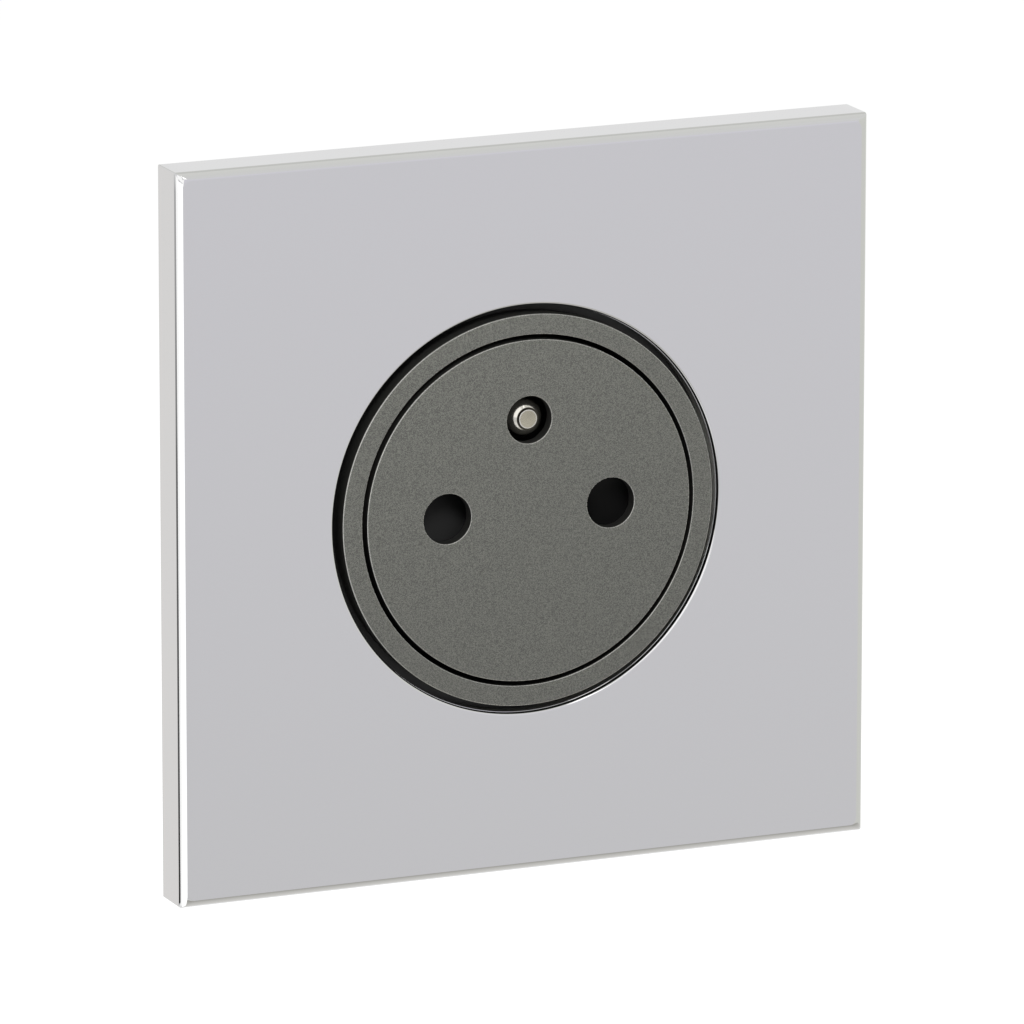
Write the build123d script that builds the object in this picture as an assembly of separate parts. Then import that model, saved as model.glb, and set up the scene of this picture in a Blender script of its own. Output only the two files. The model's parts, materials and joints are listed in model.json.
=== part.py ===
from build123d import *
import math
import os

# Flush earthed wall socket for two round pins and an earth pin.
# Millimetres. X runs to the right seen from the room, Y into the wall and Z up.
# The wall's surface is the plane Y = 0, and the origin is the middle of the plate's back.

# Cover plate
PLATE_SIDE = 80.0
PLATE_DEPTH = 5.4
PLATE_FRONT_WALL = 1.6
PLATE_RIM_WALL = 1.8
PLATE_EDGE_RADIUS = 0.85
PLATE_CORNER_RADIUS = 0.2
PLATE_HOLE_CHAMFER = 0.25
PLATE_HOLE_LAND = 0.65
STAKE_RADIUS = 1.2
STAKE_HEIGHT = 1.4
STAKE_OFFSET = 29.0

# Clip frame in the back of the plate
CLIP_FLANGE = 0.9
CLIP_RIM_WALL = 2.1
CLIP_CORNER_RADIUS = 1.5
CLIP_HOLE_MARGIN = 0.05
CLIP_COLLAR_WALL = 0.8
CLIP_FIT = 0.2
CLIP_NUB_REACH = 0.9
CLIP_NUB_WIDTH = 5.0
CLIP_NUB_GAP = 0.1
CLIP_TO_WALL = 0.3

# Support frame, folded from sheet
SUPPORT_THICKNESS = 1.2
SUPPORT_CORNER_RADIUS = 3.0
SUPPORT_BEND_RADIUS = 0.9
SCREW_CIRCLE_RADIUS = 30.0
SCREW_HOLE_RADIUS = 2.1
SLOT_LENGTH = 7.0
SLOT_WIDTH = 3.6
SLOT_INSET = 10.5
TAB_WIDTH = 8.0
TAB_OFFSET = 17.0
TAB_BRIDGE = 0.5
TAB_TO_CLIP = 0.4
TAB_TO_FLANGE = 0.2

# Trim ring
RING_WIDTH = 2.25
RING_PROUD = 0.45
RING_FLANGE = 1.55
RING_TUBE_WALL = 1.15
RING_TUBE_LENGTH = 1.9
RING_CHAMFER = 0.2
RING_TO_PLATE = 0.9
PRESS_FIT = 0.05

# Moving face
FACE_RADIUS = 18.75
FACE_PROUD = 0.6
FACE_WALL = 1.4
FACE_SKIRT_WALL = 1.1
FACE_CHAMFER = 0.2
FACE_TO_RING = 0.5
FACE_TRAVEL = 15.0
HOLE_CHAMFER = 0.12
PIN_SPACING = 19.0
PIN_RADIUS = 2.4
PIN_HOLE_RADIUS = 2.75

# Earth pin
EARTH_OFFSET = 10.0
EARTH_RADIUS = 2.4
EARTH_HOLE_RADIUS = 2.6
EARTH_TIP_RADIUS = 1.05
EARTH_SHOULDER_RADIUS = 2.0
EARTH_SHOULDER_LENGTH = 0.9
EARTH_NOSE_LENGTH = 2.2
EARTH_TIP_RECESS = 0.35
EARTH_COLLAR_RADIUS = 3.0
EARTH_COLLAR = 1.6
EARTH_STUB_RADIUS = 1.1
EARTH_RIVET_RADIUS = 1.45
EARTH_RIVET = 0.6

# Carrier behind the face
CARRIER_FIT = 0.2
CARRIER_WALL = 1.2
CARRIER_SPACE = 5.2
PIN_CLEARANCE = 0.6
LUG_ANGLES = (30, 150, 270)
LUG_WIDTH = 5.0
LUG_DEPTH = 1.95
LUG_REACH = 0.9
LUG_STOP_GAP = 0.05
LUG_WINDOW_GAP = 0.1
SKIRT_BRIDGE = 0.8
CUP_WALL = 0.8
CUP_LENGTH = 9.2

# Shutter and its hairpin spring
POST_RADIUS = 1.5
POST_FIT = 0.05
ROTOR_HUB_RADIUS = 4.2
ROTOR_COVER = 0.75
ROTOR_HALF_ANGLE = 20.0
ROTOR_GAP = 0.4
ROTOR_DEPTH = 3.6
ROTOR_RAMP = 2.2
ROTOR_ARM_REACH = 8.0
ROTOR_ARM_WIDTH = 1.8
HAIRPIN_THICKNESS = 0.35
HAIRPIN_DEPTH = 2.0
HAIRPIN_SPREAD = 6.0
HAIRPIN_MARGIN = 1.2
HAIRPIN_FIT = 0.12
HAIRPIN_LEG = 7.4
HAIRPIN_TO_HUB = 1.0
STOP_RIB_WIDTH = 1.0
STOP_RIB_LENGTH = 3.0

# Front body and rear housing
BODY_WALL = 2.65
BODY_FLANGE_REACH = 4.4
BODY_FLOOR = 1.6
FLANGE_TO_CLIP = 0.3
COLLAR_INSET = 0.15
SLIDE_GAP = 0.3
FLOOR_GAP = 0.2
OPENING_GAP = 0.3
TONGUE_WIDTH = 7.0
TONGUE_LENGTH = 8.0
TONGUE_SLOT = 0.8
SNAP_REACH = 1.2
SNAP_GAP = 0.1
SNAP_LAND = 0.6
SNAP_RAMP = 3.4
REAR_SPACE = 11.1
REAR_WALL = 1.8
REAR_SIDE_WALL = 1.6
REAR_CHAMFER = 1.0
PARTITION = 0.9

# Screws that join the two halves
JOIN_SCREW_ANGLES = (0, 180)
JOIN_SCREW_INSET = 0.75
JOIN_SCREW_RADIUS = 1.2
JOIN_SCREW_LENGTH = 10.0
JOIN_SCREW_FIT = 0.02
JOIN_HEAD_RADIUS = 2.2
JOIN_HEAD = 1.3
JOIN_HEAD_FIT = 0.2
JOIN_RECESS_LENGTH = 2.4
JOIN_RECESS_WIDTH = 0.6
JOIN_RECESS_DEPTH = 0.8
FRONT_BOSS_RADIUS = 2.5
REAR_BOSS_RADIUS = 3.0
BOSS_SPLIT = 5.4

# Return spring
SPRING_RADIUS = 3.1
SPRING_WIRE = 0.7
SPRING_TURNS = 5.0
SPRING_FIT = 0.3
SPRING_END_GAP = 0.1
SPRING_POST_LENGTH = 5.0

# Contacts and terminals
STRIP = 0.6
CONTACT_WIDTH = 3.2
CONTACT_PRELOAD = 0.25
CONTACT_MOUTH = 3.5
CONTACT_MOUTH_LENGTH = 2.4
CONTACT_BACK_HALF = 3.2
CONTACT_FRONT_GAP = 0.6
CONTACT_BEND = 1.0
TERMINAL_OFFSET = 7.2
TERMINAL_WIDTH = 8.0
BAR_BEND = 0.6
BAR_FRONT_GAP = 3.4
BAR_BACK_GAP = 1.6
EARTH_BAR_DROP = 2.1
EARTH_BAR_MARGIN = 3.4
ENTRY_SIZE = 3.2
ENTRY_SPACING = 4.0
ENTRY_FUNNEL = 0.4
CLAMP_STRIP = 0.4
CLAMP_WIDTH = 7.4
CLAMP_RISE = 8.7
CLAMP_FOLD = 1.1
CLAMP_BEND = 0.5
CLAMP_TO_WALL = 0.25
CLAMP_END_GAP = 0.3
CLAMP_TIP_GAP = 0.15
CLAMP_FRONT_GAP = 4.0
CLAMP_SEAT = 1.0
CLAMP_SEAT_WIDTH = 6.0
CLAMP_SEAT_GAP = 0.1

# Release buttons
BUTTON_WIDTH = 4.7
BUTTON_THICKNESS = 1.5
BUTTON_RISE = 5.1
BUTTON_FIT = 0.15
BUTTON_PROUD = 1.9
BUTTON_SHOULDER = 1.0
BUTTON_SHOULDER_WIDTH = 6.6
BUTTON_SHOULDER_GAP = 0.1
BUTTON_TIP = 0.7
BUTTON_GROOVE = 0.6

# Depths along Y, from the room into the wall
PLATE_FRONT = -PLATE_DEPTH
PLATE_INSIDE = PLATE_FRONT + PLATE_FRONT_WALL
CLIP_FLANGE_BACK = PLATE_INSIDE + CLIP_FLANGE
SUPPORT_FRONT = -SUPPORT_THICKNESS
BODY_FLANGE_FRONT = CLIP_FLANGE_BACK + FLANGE_TO_CLIP
RING_FRONT = PLATE_FRONT - RING_PROUD
RING_SEAT = RING_FRONT + RING_FLANGE
RING_TUBE_END = RING_SEAT + RING_TUBE_LENGTH
FACE_FRONT = PLATE_FRONT - FACE_PROUD
FACE_BACK = FACE_FRONT + FACE_WALL
LUG_FRONT = RING_TUBE_END + LUG_STOP_GAP
LUG_BACK = LUG_FRONT + LUG_DEPTH
SKIRT_END = LUG_BACK + LUG_WINDOW_GAP + SKIRT_BRIDGE
CARRIER_PLATE = FACE_BACK + CARRIER_SPACE
CARRIER_BACK = CARRIER_PLATE + CARRIER_WALL
CUP_END = CARRIER_BACK + CUP_LENGTH
ROTOR_FRONT = FACE_BACK + ROTOR_GAP
ROTOR_BACK = ROTOR_FRONT + ROTOR_DEPTH
FLOOR_FRONT = CARRIER_BACK + FACE_TRAVEL + FLOOR_GAP
FLOOR_BACK = FLOOR_FRONT + BODY_FLOOR
REAR_INSIDE = FLOOR_BACK + REAR_SPACE
REAR_BACK = REAR_INSIDE + REAR_WALL
EARTH_TIP = FACE_FRONT + EARTH_TIP_RECESS
EARTH_BAR_FRONT = FLOOR_BACK + EARTH_COLLAR
JOIN_HEAD_SEAT = REAR_BACK - JOIN_HEAD
BOSS_MEET = FLOOR_BACK + BOSS_SPLIT

# Radii and half widths
WELL_RADIUS = FACE_RADIUS + FACE_TO_RING
RING_RADIUS = WELL_RADIUS + RING_WIDTH
PLATE_HOLE_RADIUS = RING_RADIUS + RING_TO_PLATE
CLIP_HOLE_RADIUS = PLATE_HOLE_RADIUS + CLIP_HOLE_MARGIN
CLIP_COLLAR_RADIUS = CLIP_HOLE_RADIUS + CLIP_COLLAR_WALL
TUBE_RADIUS = WELL_RADIUS + RING_TUBE_WALL
COUNTERBORE_RADIUS = TUBE_RADIUS + PRESS_FIT
SKIRT_RADIUS = FACE_RADIUS - FACE_SKIRT_WALL
CARRIER_RADIUS = SKIRT_RADIUS - CARRIER_FIT
BODY_RADIUS = WELL_RADIUS + BODY_WALL
OPENING_RADIUS = BODY_RADIUS + OPENING_GAP
REAR_INNER_RADIUS = BODY_RADIUS - REAR_SIDE_WALL
CUP_INNER_RADIUS = SPRING_RADIUS + SPRING_WIRE / 2 + SPRING_FIT
CUP_RADIUS = CUP_INNER_RADIUS + CUP_WALL
POCKET_RADIUS = CUP_RADIUS + SLIDE_GAP
PIN_X = PIN_SPACING / 2
CLIP_HALF = PLATE_SIDE / 2 - PLATE_RIM_WALL - CLIP_FIT
CLIP_INNER_HALF = CLIP_HALF - CLIP_RIM_WALL
SUPPORT_HALF = CLIP_INNER_HALF - TAB_TO_CLIP
SUPPORT_FLAT_HALF = SUPPORT_HALF - SUPPORT_BEND_RADIUS - SUPPORT_THICKNESS / 2
TAB_FRONT = CLIP_FLANGE_BACK + TAB_TO_FLANGE
TAB_WINDOW_FRONT = TAB_FRONT + TAB_BRIDGE
BAR_FRONT = FLOOR_BACK + BAR_FRONT_GAP
ROTOR_REACH = PIN_X + PIN_HOLE_RADIUS + ROTOR_COVER
CARRIER_INNER_RADIUS = CARRIER_RADIUS - CARRIER_WALL

# Hairpin: middle of the leg on the rotor's arm, middle of its bend, and how far down it reaches
HAIRPIN_LEFT = ROTOR_ARM_WIDTH / 2 + HAIRPIN_FIT + HAIRPIN_THICKNESS / 2
HAIRPIN_MIDDLE = HAIRPIN_LEFT + HAIRPIN_SPREAD / 2
HAIRPIN_BOTTOM = math.sqrt((CARRIER_INNER_RADIUS - HAIRPIN_MARGIN) ** 2 - HAIRPIN_MIDDLE**2)

# Joining screws, on a circle just inside the rear housing's wall
JOIN_SCREW_RING = REAR_INNER_RADIUS - REAR_BOSS_RADIUS - JOIN_SCREW_INSET
JOIN_SCREW_PLACES = [
    (JOIN_SCREW_RING * math.cos(math.radians(angle)), JOIN_SCREW_RING * math.sin(math.radians(angle)))
    for angle in JOIN_SCREW_ANGLES
]

# Terminals: middle along X, side of the middle line that they face, and distance of their bar from it.
# The clamps of the two poles reach out to the wall of the round housing.
CLAMP_CORNER_X = TERMINAL_OFFSET + CLAMP_WIDTH / 2
CLAMP_CORNER_RADIUS = REAR_INNER_RADIUS - CLAMP_TO_WALL
POLE_CLAMP_OUTER = math.sqrt(CLAMP_CORNER_RADIUS**2 - CLAMP_CORNER_X**2) - CLAMP_STRIP / 2
POLE_BAR_OFFSET = POLE_CLAMP_OUTER - CLAMP_RISE
EARTH_BAR_OFFSET = EARTH_OFFSET - EARTH_BAR_DROP
LINE_TERMINAL = (TERMINAL_OFFSET, -1, POLE_BAR_OFFSET)
NEUTRAL_TERMINAL = (-TERMINAL_OFFSET, -1, POLE_BAR_OFFSET)
EARTH_TERMINAL = (0.0, 1, EARTH_BAR_OFFSET)
TERMINALS = (LINE_TERMINAL, NEUTRAL_TERMINAL, EARTH_TERMINAL)


def slab(outline, front, back):
    """Extrude an outline drawn in X and Z between two depths."""
    return extrude(Plane.XZ.offset(-back) * outline, amount=back - front)


def disc(radius, front, back, x=0.0, z=0.0):
    """A round slab with its axis along Y."""
    return slab(Pos(x, z) * Circle(radius), front, back)


def pipe(outer, inner, front, back, x=0.0, z=0.0):
    """A round tube with its axis along Y."""
    return slab(Pos(x, z) * (Circle(outer) - Circle(inner)), front, back)


def block(width, height, front, back, x=0.0, z=0.0):
    """A rectangular slab centred on a point in X and Z."""
    return slab(Pos(x, z) * Rectangle(width, height), front, back)


def turned(outline):
    """Turn an outline of radius and depth about the Y axis."""
    return revolve(outline, Axis.Y)


def folded(path, thickness, width, x=0.0):
    """A strip of sheet, folded along a path of depth and height, centred on a place along X."""
    return extrude(Plane.YZ.offset(x - width / 2) * trace(path, thickness), amount=width)


def rims_at(part, radius, depth):
    """The round edges of one radius that lie at one depth."""
    rims = part.edges().filter_by(GeomType.CIRCLE)
    rims = rims.filter_by(lambda rim: math.isclose(rim.radius, radius))
    return rims.filter_by(lambda rim: math.isclose(rim.center().Y, depth))


def cover_plate():
    """A cast plate with rounded front edges that meet in mitres, hollow at the back."""
    half = PLATE_SIDE / 2
    section = Pos(0, PLATE_FRONT / 2) * Rectangle(PLATE_SIDE, PLATE_DEPTH)
    section = fillet(section.vertices().group_by(Axis.Y)[0], PLATE_EDGE_RADIUS)
    bar = extrude(section, amount=half, both=True)
    outline = RectangleRounded(PLATE_SIDE, PLATE_SIDE, PLATE_CORNER_RADIUS)
    plate = bar & (Rot(0, 90, 0) * bar) & slab(outline, PLATE_FRONT, 0)
    hollow = PLATE_SIDE - 2 * PLATE_RIM_WALL
    plate -= slab(RectangleRounded(hollow, hollow, CLIP_CORNER_RADIUS), PLATE_INSIDE, 0)
    plate -= disc(PLATE_HOLE_RADIUS, PLATE_FRONT, PLATE_INSIDE)
    plate -= disc(CLIP_COLLAR_RADIUS + PRESS_FIT, PLATE_FRONT + PLATE_HOLE_LAND, PLATE_INSIDE)
    plate = chamfer(rims_at(plate, PLATE_HOLE_RADIUS, PLATE_FRONT), PLATE_HOLE_CHAMFER)
    for place in GridLocations(2 * STAKE_OFFSET, 2 * STAKE_OFFSET, 2, 2):
        stake = place.position
        plate += disc(STAKE_RADIUS, PLATE_INSIDE, PLATE_INSIDE + STAKE_HEIGHT, stake.X, stake.Y)
    return plate


def plate_clip_frame():
    """A frame with a collar in the plate's hole, a flange on its stakes and nubs for the support's tabs."""
    outline = RectangleRounded(2 * CLIP_HALF, 2 * CLIP_HALF, CLIP_CORNER_RADIUS)
    stakes = GridLocations(2 * STAKE_OFFSET, 2 * STAKE_OFFSET, 2, 2)
    flange = outline - Circle(CLIP_HOLE_RADIUS)
    flange -= stakes * Circle(STAKE_RADIUS + PRESS_FIT)
    frame = slab(flange, PLATE_INSIDE, CLIP_FLANGE_BACK)
    collar_front = PLATE_FRONT + PLATE_HOLE_LAND + PRESS_FIT
    frame += pipe(CLIP_COLLAR_RADIUS, CLIP_HOLE_RADIUS, collar_front, PLATE_INSIDE)
    rim = outline - Rectangle(2 * CLIP_INNER_HALF, 2 * CLIP_INNER_HALF)
    frame += slab(rim, CLIP_FLANGE_BACK, -CLIP_TO_WALL)
    nub_length = CLIP_NUB_REACH + CLIP_RIM_WALL / 2
    nub_x = CLIP_INNER_HALF - CLIP_NUB_REACH + nub_length / 2
    nub_front = TAB_WINDOW_FRONT + CLIP_NUB_GAP
    nub_back = SUPPORT_FRONT - CLIP_NUB_GAP
    for place in GridLocations(2 * nub_x, 2 * TAB_OFFSET, 2, 2):
        nub = place.position
        frame += block(nub_length, CLIP_NUB_WIDTH, nub_front, nub_back, nub.X, nub.Y)
    return frame


def support_frame():
    """A sheet with a round opening, four screw holes and four tabs that are bent towards the room."""
    sheet = RectangleRounded(2 * SUPPORT_FLAT_HALF, 2 * SUPPORT_HALF, SUPPORT_CORNER_RADIUS)
    sheet -= Circle(OPENING_RADIUS)
    sheet -= PolarLocations(SCREW_CIRCLE_RADIUS, 4) * Circle(SCREW_HOLE_RADIUS)
    slot = Rot(0, 0, 90) * SlotOverall(SLOT_LENGTH, SLOT_WIDTH)
    sheet -= PolarLocations(math.sqrt(2) * (SUPPORT_HALF - SLOT_INSET), 4, start_angle=45) * slot
    frame = slab(sheet, SUPPORT_FRONT, 0)
    tab_middle = SUPPORT_HALF - SUPPORT_THICKNESS / 2
    bend = FilletPolyline(
        (SUPPORT_FLAT_HALF - SUPPORT_CORNER_RADIUS, SUPPORT_FRONT / 2),
        (tab_middle, SUPPORT_FRONT / 2),
        (tab_middle, TAB_FRONT),
        radius=SUPPORT_BEND_RADIUS,
    )
    tab = extrude(trace(bend, SUPPORT_THICKNESS), amount=TAB_WIDTH / 2, both=True)
    window = CLIP_NUB_WIDTH + 2 * TAB_TO_CLIP
    tab -= block(SUPPORT_THICKNESS * 2, window, TAB_WINDOW_FRONT, SUPPORT_FRONT, tab_middle)
    for end in (1, -1):
        right_tab = Pos(0, 0, end * TAB_OFFSET) * tab
        frame += right_tab + mirror(right_tab, about=Plane.YZ)
    return frame


def trim_ring():
    """A ring with a flange in front of the well and a tube that is pressed into it."""
    outline = make_face(
        Polyline(
            (WELL_RADIUS, RING_FRONT),
            (RING_RADIUS, RING_FRONT),
            (RING_RADIUS, RING_SEAT),
            (TUBE_RADIUS, RING_SEAT),
            (TUBE_RADIUS, RING_TUBE_END),
            (WELL_RADIUS, RING_TUBE_END),
            close=True,
        )
    )
    outline = chamfer(outline.vertices().group_by(Axis.Y)[0], RING_CHAMFER)
    return turned(outline)


def face_disc():
    """The face that sinks into the well: a wall with three holes and a skirt with windows for the lugs."""
    outline = make_face(
        Polyline(
            (0, FACE_FRONT),
            (FACE_RADIUS, FACE_FRONT),
            (FACE_RADIUS, SKIRT_END),
            (SKIRT_RADIUS, SKIRT_END),
            (SKIRT_RADIUS, FACE_BACK),
            (0, FACE_BACK),
            close=True,
        )
    )
    rim = outline.vertices().group_by(Axis.Y)[0].sort_by(Axis.X)[-1]
    face = turned(chamfer(rim, FACE_CHAMFER))
    for x in (PIN_X, -PIN_X):
        face -= disc(PIN_HOLE_RADIUS, FACE_FRONT, FACE_BACK, x)
    face -= disc(EARTH_HOLE_RADIUS, FACE_FRONT, FACE_BACK, z=EARTH_OFFSET)
    rims = rims_at(face, PIN_HOLE_RADIUS, FACE_FRONT) + rims_at(face, EARTH_HOLE_RADIUS, FACE_FRONT)
    face = chamfer(rims, HOLE_CHAMFER)
    window_width = LUG_WIDTH + 2 * LUG_WINDOW_GAP
    window_front = LUG_FRONT - LUG_WINDOW_GAP
    window_back = LUG_BACK + LUG_WINDOW_GAP
    skirt_middle = SKIRT_RADIUS + FACE_SKIRT_WALL / 2
    window = block(2 * FACE_SKIRT_WALL, window_width, window_front, window_back, skirt_middle)
    for angle in LUG_ANGLES:
        face -= Rot(0, -angle, 0) * window
    return face


def shutter_carrier():
    """A cup behind the face, with the shutter's post, the hairpin's seat, three lugs and a spring cup."""
    carrier = pipe(CARRIER_RADIUS, CARRIER_INNER_RADIUS, FACE_BACK, CARRIER_PLATE)
    carrier += disc(CARRIER_RADIUS, CARRIER_PLATE, CARRIER_BACK)
    carrier += disc(ROTOR_HUB_RADIUS, ROTOR_BACK + POST_FIT, CARRIER_PLATE)
    carrier += disc(POST_RADIUS, FACE_BACK, CARRIER_PLATE)
    lug_inner = CARRIER_RADIUS - CARRIER_WALL / 2
    lug_outer = WELL_RADIUS + LUG_REACH
    lug = block(lug_outer - lug_inner, LUG_WIDTH, LUG_FRONT, LUG_BACK, (lug_outer + lug_inner) / 2)
    for angle in LUG_ANGLES:
        carrier += Rot(0, -angle, 0) * lug
    hairpin_front = ROTOR_BACK - HAIRPIN_DEPTH
    seat_radius = HAIRPIN_SPREAD / 2 - HAIRPIN_THICKNESS / 2 - HAIRPIN_FIT
    seat_z = HAIRPIN_SPREAD / 2 - HAIRPIN_BOTTOM
    carrier += disc(seat_radius, hairpin_front, CARRIER_PLATE, HAIRPIN_MIDDLE, seat_z)
    leg_edge = HAIRPIN_MIDDLE + HAIRPIN_SPREAD / 2 + HAIRPIN_THICKNESS / 2
    rib_x = leg_edge + HAIRPIN_FIT + STOP_RIB_WIDTH / 2
    rib_z = -HAIRPIN_LEG - STOP_RIB_LENGTH / 2
    carrier += block(STOP_RIB_WIDTH, STOP_RIB_LENGTH, hairpin_front, CARRIER_PLATE, rib_x, rib_z)
    for x in (PIN_X, -PIN_X):
        carrier -= disc(PIN_RADIUS + PIN_CLEARANCE, CARRIER_PLATE, CARRIER_BACK, x)
    carrier -= disc(EARTH_RADIUS + SLIDE_GAP, CARRIER_PLATE, CARRIER_BACK, z=EARTH_OFFSET)
    carrier += pipe(CUP_RADIUS, CUP_INNER_RADIUS, CARRIER_BACK, CUP_END)
    return carrier


def safety_shutter():
    """A rotor with two ramped wings over the pin holes, which the two pins together push aside."""
    half_angle = math.radians(ROTOR_HALF_ANGLE)
    corner_x = ROTOR_REACH * math.cos(half_angle)
    corner_z = ROTOR_REACH * math.sin(half_angle)
    low, high = (corner_x, -corner_z), (corner_x, corner_z)
    sector = make_face([Line((0, 0), low), ThreePointArc(low, (ROTOR_REACH, 0), high), Line(high, (0, 0))])
    wing = slab(sector, ROTOR_FRONT, ROTOR_BACK)
    ramp = make_face(
        Polyline(
            (ROTOR_FRONT, corner_z),
            (ROTOR_FRONT, -corner_z),
            (ROTOR_FRONT + ROTOR_RAMP, -corner_z),
            close=True,
        )
    )
    wing -= extrude(Plane.YZ * ramp, amount=ROTOR_REACH)
    rotor = disc(ROTOR_HUB_RADIUS, ROTOR_FRONT, ROTOR_BACK) + wing + Rot(0, 180, 0) * wing
    rotor += block(ROTOR_ARM_WIDTH, ROTOR_ARM_REACH, ROTOR_FRONT, ROTOR_BACK, z=-ROTOR_ARM_REACH / 2)
    return rotor - disc(POST_RADIUS + POST_FIT, ROTOR_FRONT, ROTOR_BACK)


def shutter_spring():
    """A hairpin of strip between the rotor's arm and the carrier's rib."""
    right = HAIRPIN_LEFT + HAIRPIN_SPREAD
    path = FilletPolyline(
        (HAIRPIN_LEFT, -ROTOR_HUB_RADIUS - HAIRPIN_TO_HUB),
        (HAIRPIN_LEFT, -HAIRPIN_BOTTOM),
        (right, -HAIRPIN_BOTTOM),
        (right, -HAIRPIN_LEG),
        radius=HAIRPIN_SPREAD / 2 - HAIRPIN_FIT,
    )
    return slab(trace(path, HAIRPIN_THICKNESS), ROTOR_BACK - HAIRPIN_DEPTH, ROTOR_BACK)


def join_bosses(radius, hole_radius, front, back):
    """Drilled bosses at the places of the joining screws."""
    bosses = [pipe(radius, hole_radius, front, back, x, z) for x, z in JOIN_SCREW_PLACES]
    return Part() + bosses


def front_body():
    """The well: a tube with a flange on the support, a floor, slots for the lugs and snap tongues."""
    body = pipe(RING_RADIUS - COLLAR_INSET, COUNTERBORE_RADIUS, RING_SEAT, RING_TUBE_END)
    body += pipe(RING_RADIUS - COLLAR_INSET, WELL_RADIUS, RING_TUBE_END, SUPPORT_FRONT)
    body += pipe(BODY_RADIUS + BODY_FLANGE_REACH, COUNTERBORE_RADIUS, BODY_FLANGE_FRONT, SUPPORT_FRONT)
    body += pipe(BODY_RADIUS, WELL_RADIUS, SUPPORT_FRONT, FLOOR_FRONT)
    body += disc(BODY_RADIUS, FLOOR_FRONT, FLOOR_BACK)
    slot_width = LUG_WIDTH + 2 * SLIDE_GAP
    slot_depth = COUNTERBORE_RADIUS - FACE_RADIUS
    slot_middle = FACE_RADIUS + slot_depth / 2
    slot = block(slot_depth, slot_width, RING_TUBE_END, FLOOR_FRONT, slot_middle)
    for angle in LUG_ANGLES:
        body -= Rot(0, -angle, 0) * slot
    for x in (PIN_X, -PIN_X):
        body -= disc(PIN_RADIUS + PIN_CLEARANCE, FLOOR_FRONT, FLOOR_BACK, x)
    body -= disc(EARTH_RADIUS + PRESS_FIT, FLOOR_FRONT, FLOOR_BACK, z=EARTH_OFFSET)
    body -= disc(POCKET_RADIUS, FLOOR_FRONT, FLOOR_BACK)
    body += join_bosses(FRONT_BOSS_RADIUS, JOIN_SCREW_RADIUS + JOIN_SCREW_FIT, FLOOR_BACK, BOSS_MEET)
    for turn in (0, 180):
        body = body - Rot(0, turn, 0) * tongue_slots() + Rot(0, turn, 0) * snap_lug()
    return body


def tongue_slots():
    """The cuts that free a snap tongue in the right side of the well."""
    tongue_front = SNAP_GAP - SNAP_LAND
    middle = (WELL_RADIUS + BODY_RADIUS) / 2
    depth = 2 * BODY_WALL
    slot_z = (TONGUE_WIDTH + TONGUE_SLOT) / 2
    cuts = block(depth, TONGUE_SLOT, tongue_front, tongue_front + TONGUE_LENGTH, middle, slot_z)
    cuts += block(depth, TONGUE_SLOT, tongue_front, tongue_front + TONGUE_LENGTH, middle, -slot_z)
    full_width = TONGUE_WIDTH + 2 * TONGUE_SLOT
    return cuts + block(depth, full_width, tongue_front - TONGUE_SLOT / 2, tongue_front, middle)


def snap_lug():
    """The wedge on a snap tongue that catches behind the support frame."""
    root = BODY_RADIUS - BODY_WALL / 2
    crest = BODY_RADIUS + SNAP_REACH
    wedge = make_face(
        Polyline(
            (root, SNAP_GAP),
            (crest, SNAP_GAP),
            (crest, SNAP_GAP + SNAP_LAND),
            (BODY_RADIUS, SNAP_GAP + SNAP_LAND + SNAP_RAMP),
            (root, SNAP_GAP + SNAP_LAND + SNAP_RAMP),
            close=True,
        )
    )
    return extrude(wedge, amount=TONGUE_WIDTH / 2, both=True)


def rear_housing():
    """A cup behind the well with the spring's pocket, bosses, wire entries and button windows."""
    cup = disc(BODY_RADIUS, FLOOR_BACK, REAR_BACK)
    cup = chamfer(rims_at(cup, BODY_RADIUS, REAR_BACK), REAR_CHAMFER)
    cup -= disc(REAR_INNER_RADIUS, FLOOR_BACK, REAR_INSIDE)
    cup += pipe(POCKET_RADIUS + CUP_WALL, POCKET_RADIUS, FLOOR_BACK, REAR_INSIDE)
    post_radius = SPRING_RADIUS - SPRING_WIRE / 2 - SPRING_FIT
    cup += disc(post_radius, REAR_INSIDE - SPRING_POST_LENGTH, REAR_INSIDE)
    wall_top = -POCKET_RADIUS - CUP_WALL / 2
    wall_bottom = -REAR_INNER_RADIUS - REAR_SIDE_WALL / 2
    wall_middle = (wall_top + wall_bottom) / 2
    cup += block(PARTITION, wall_top - wall_bottom, FLOOR_BACK + SLIDE_GAP, REAR_INSIDE, z=wall_middle)
    for x, side, bar in TERMINALS:
        seat_z = side * (bar + CLAMP_RISE + CLAMP_STRIP / 2 + CLAMP_SEAT_GAP + CLAMP_SEAT / 2)
        cup += block(CLAMP_SEAT_WIDTH, CLAMP_SEAT, FLOOR_BACK + CLAMP_FRONT_GAP, REAR_INSIDE, x, seat_z)
    for x, z in JOIN_SCREW_PLACES:
        cup += disc(REAR_BOSS_RADIUS, BOSS_MEET, REAR_INSIDE, x, z)
        cup -= disc(JOIN_SCREW_RADIUS + JOIN_HEAD_FIT, BOSS_MEET, REAR_BACK, x, z)
        cup -= disc(JOIN_HEAD_RADIUS + JOIN_HEAD_FIT, JOIN_HEAD_SEAT, REAR_BACK, x, z)
    for terminal in TERMINALS:
        cup -= terminal_openings(terminal)
    return cup


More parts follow.
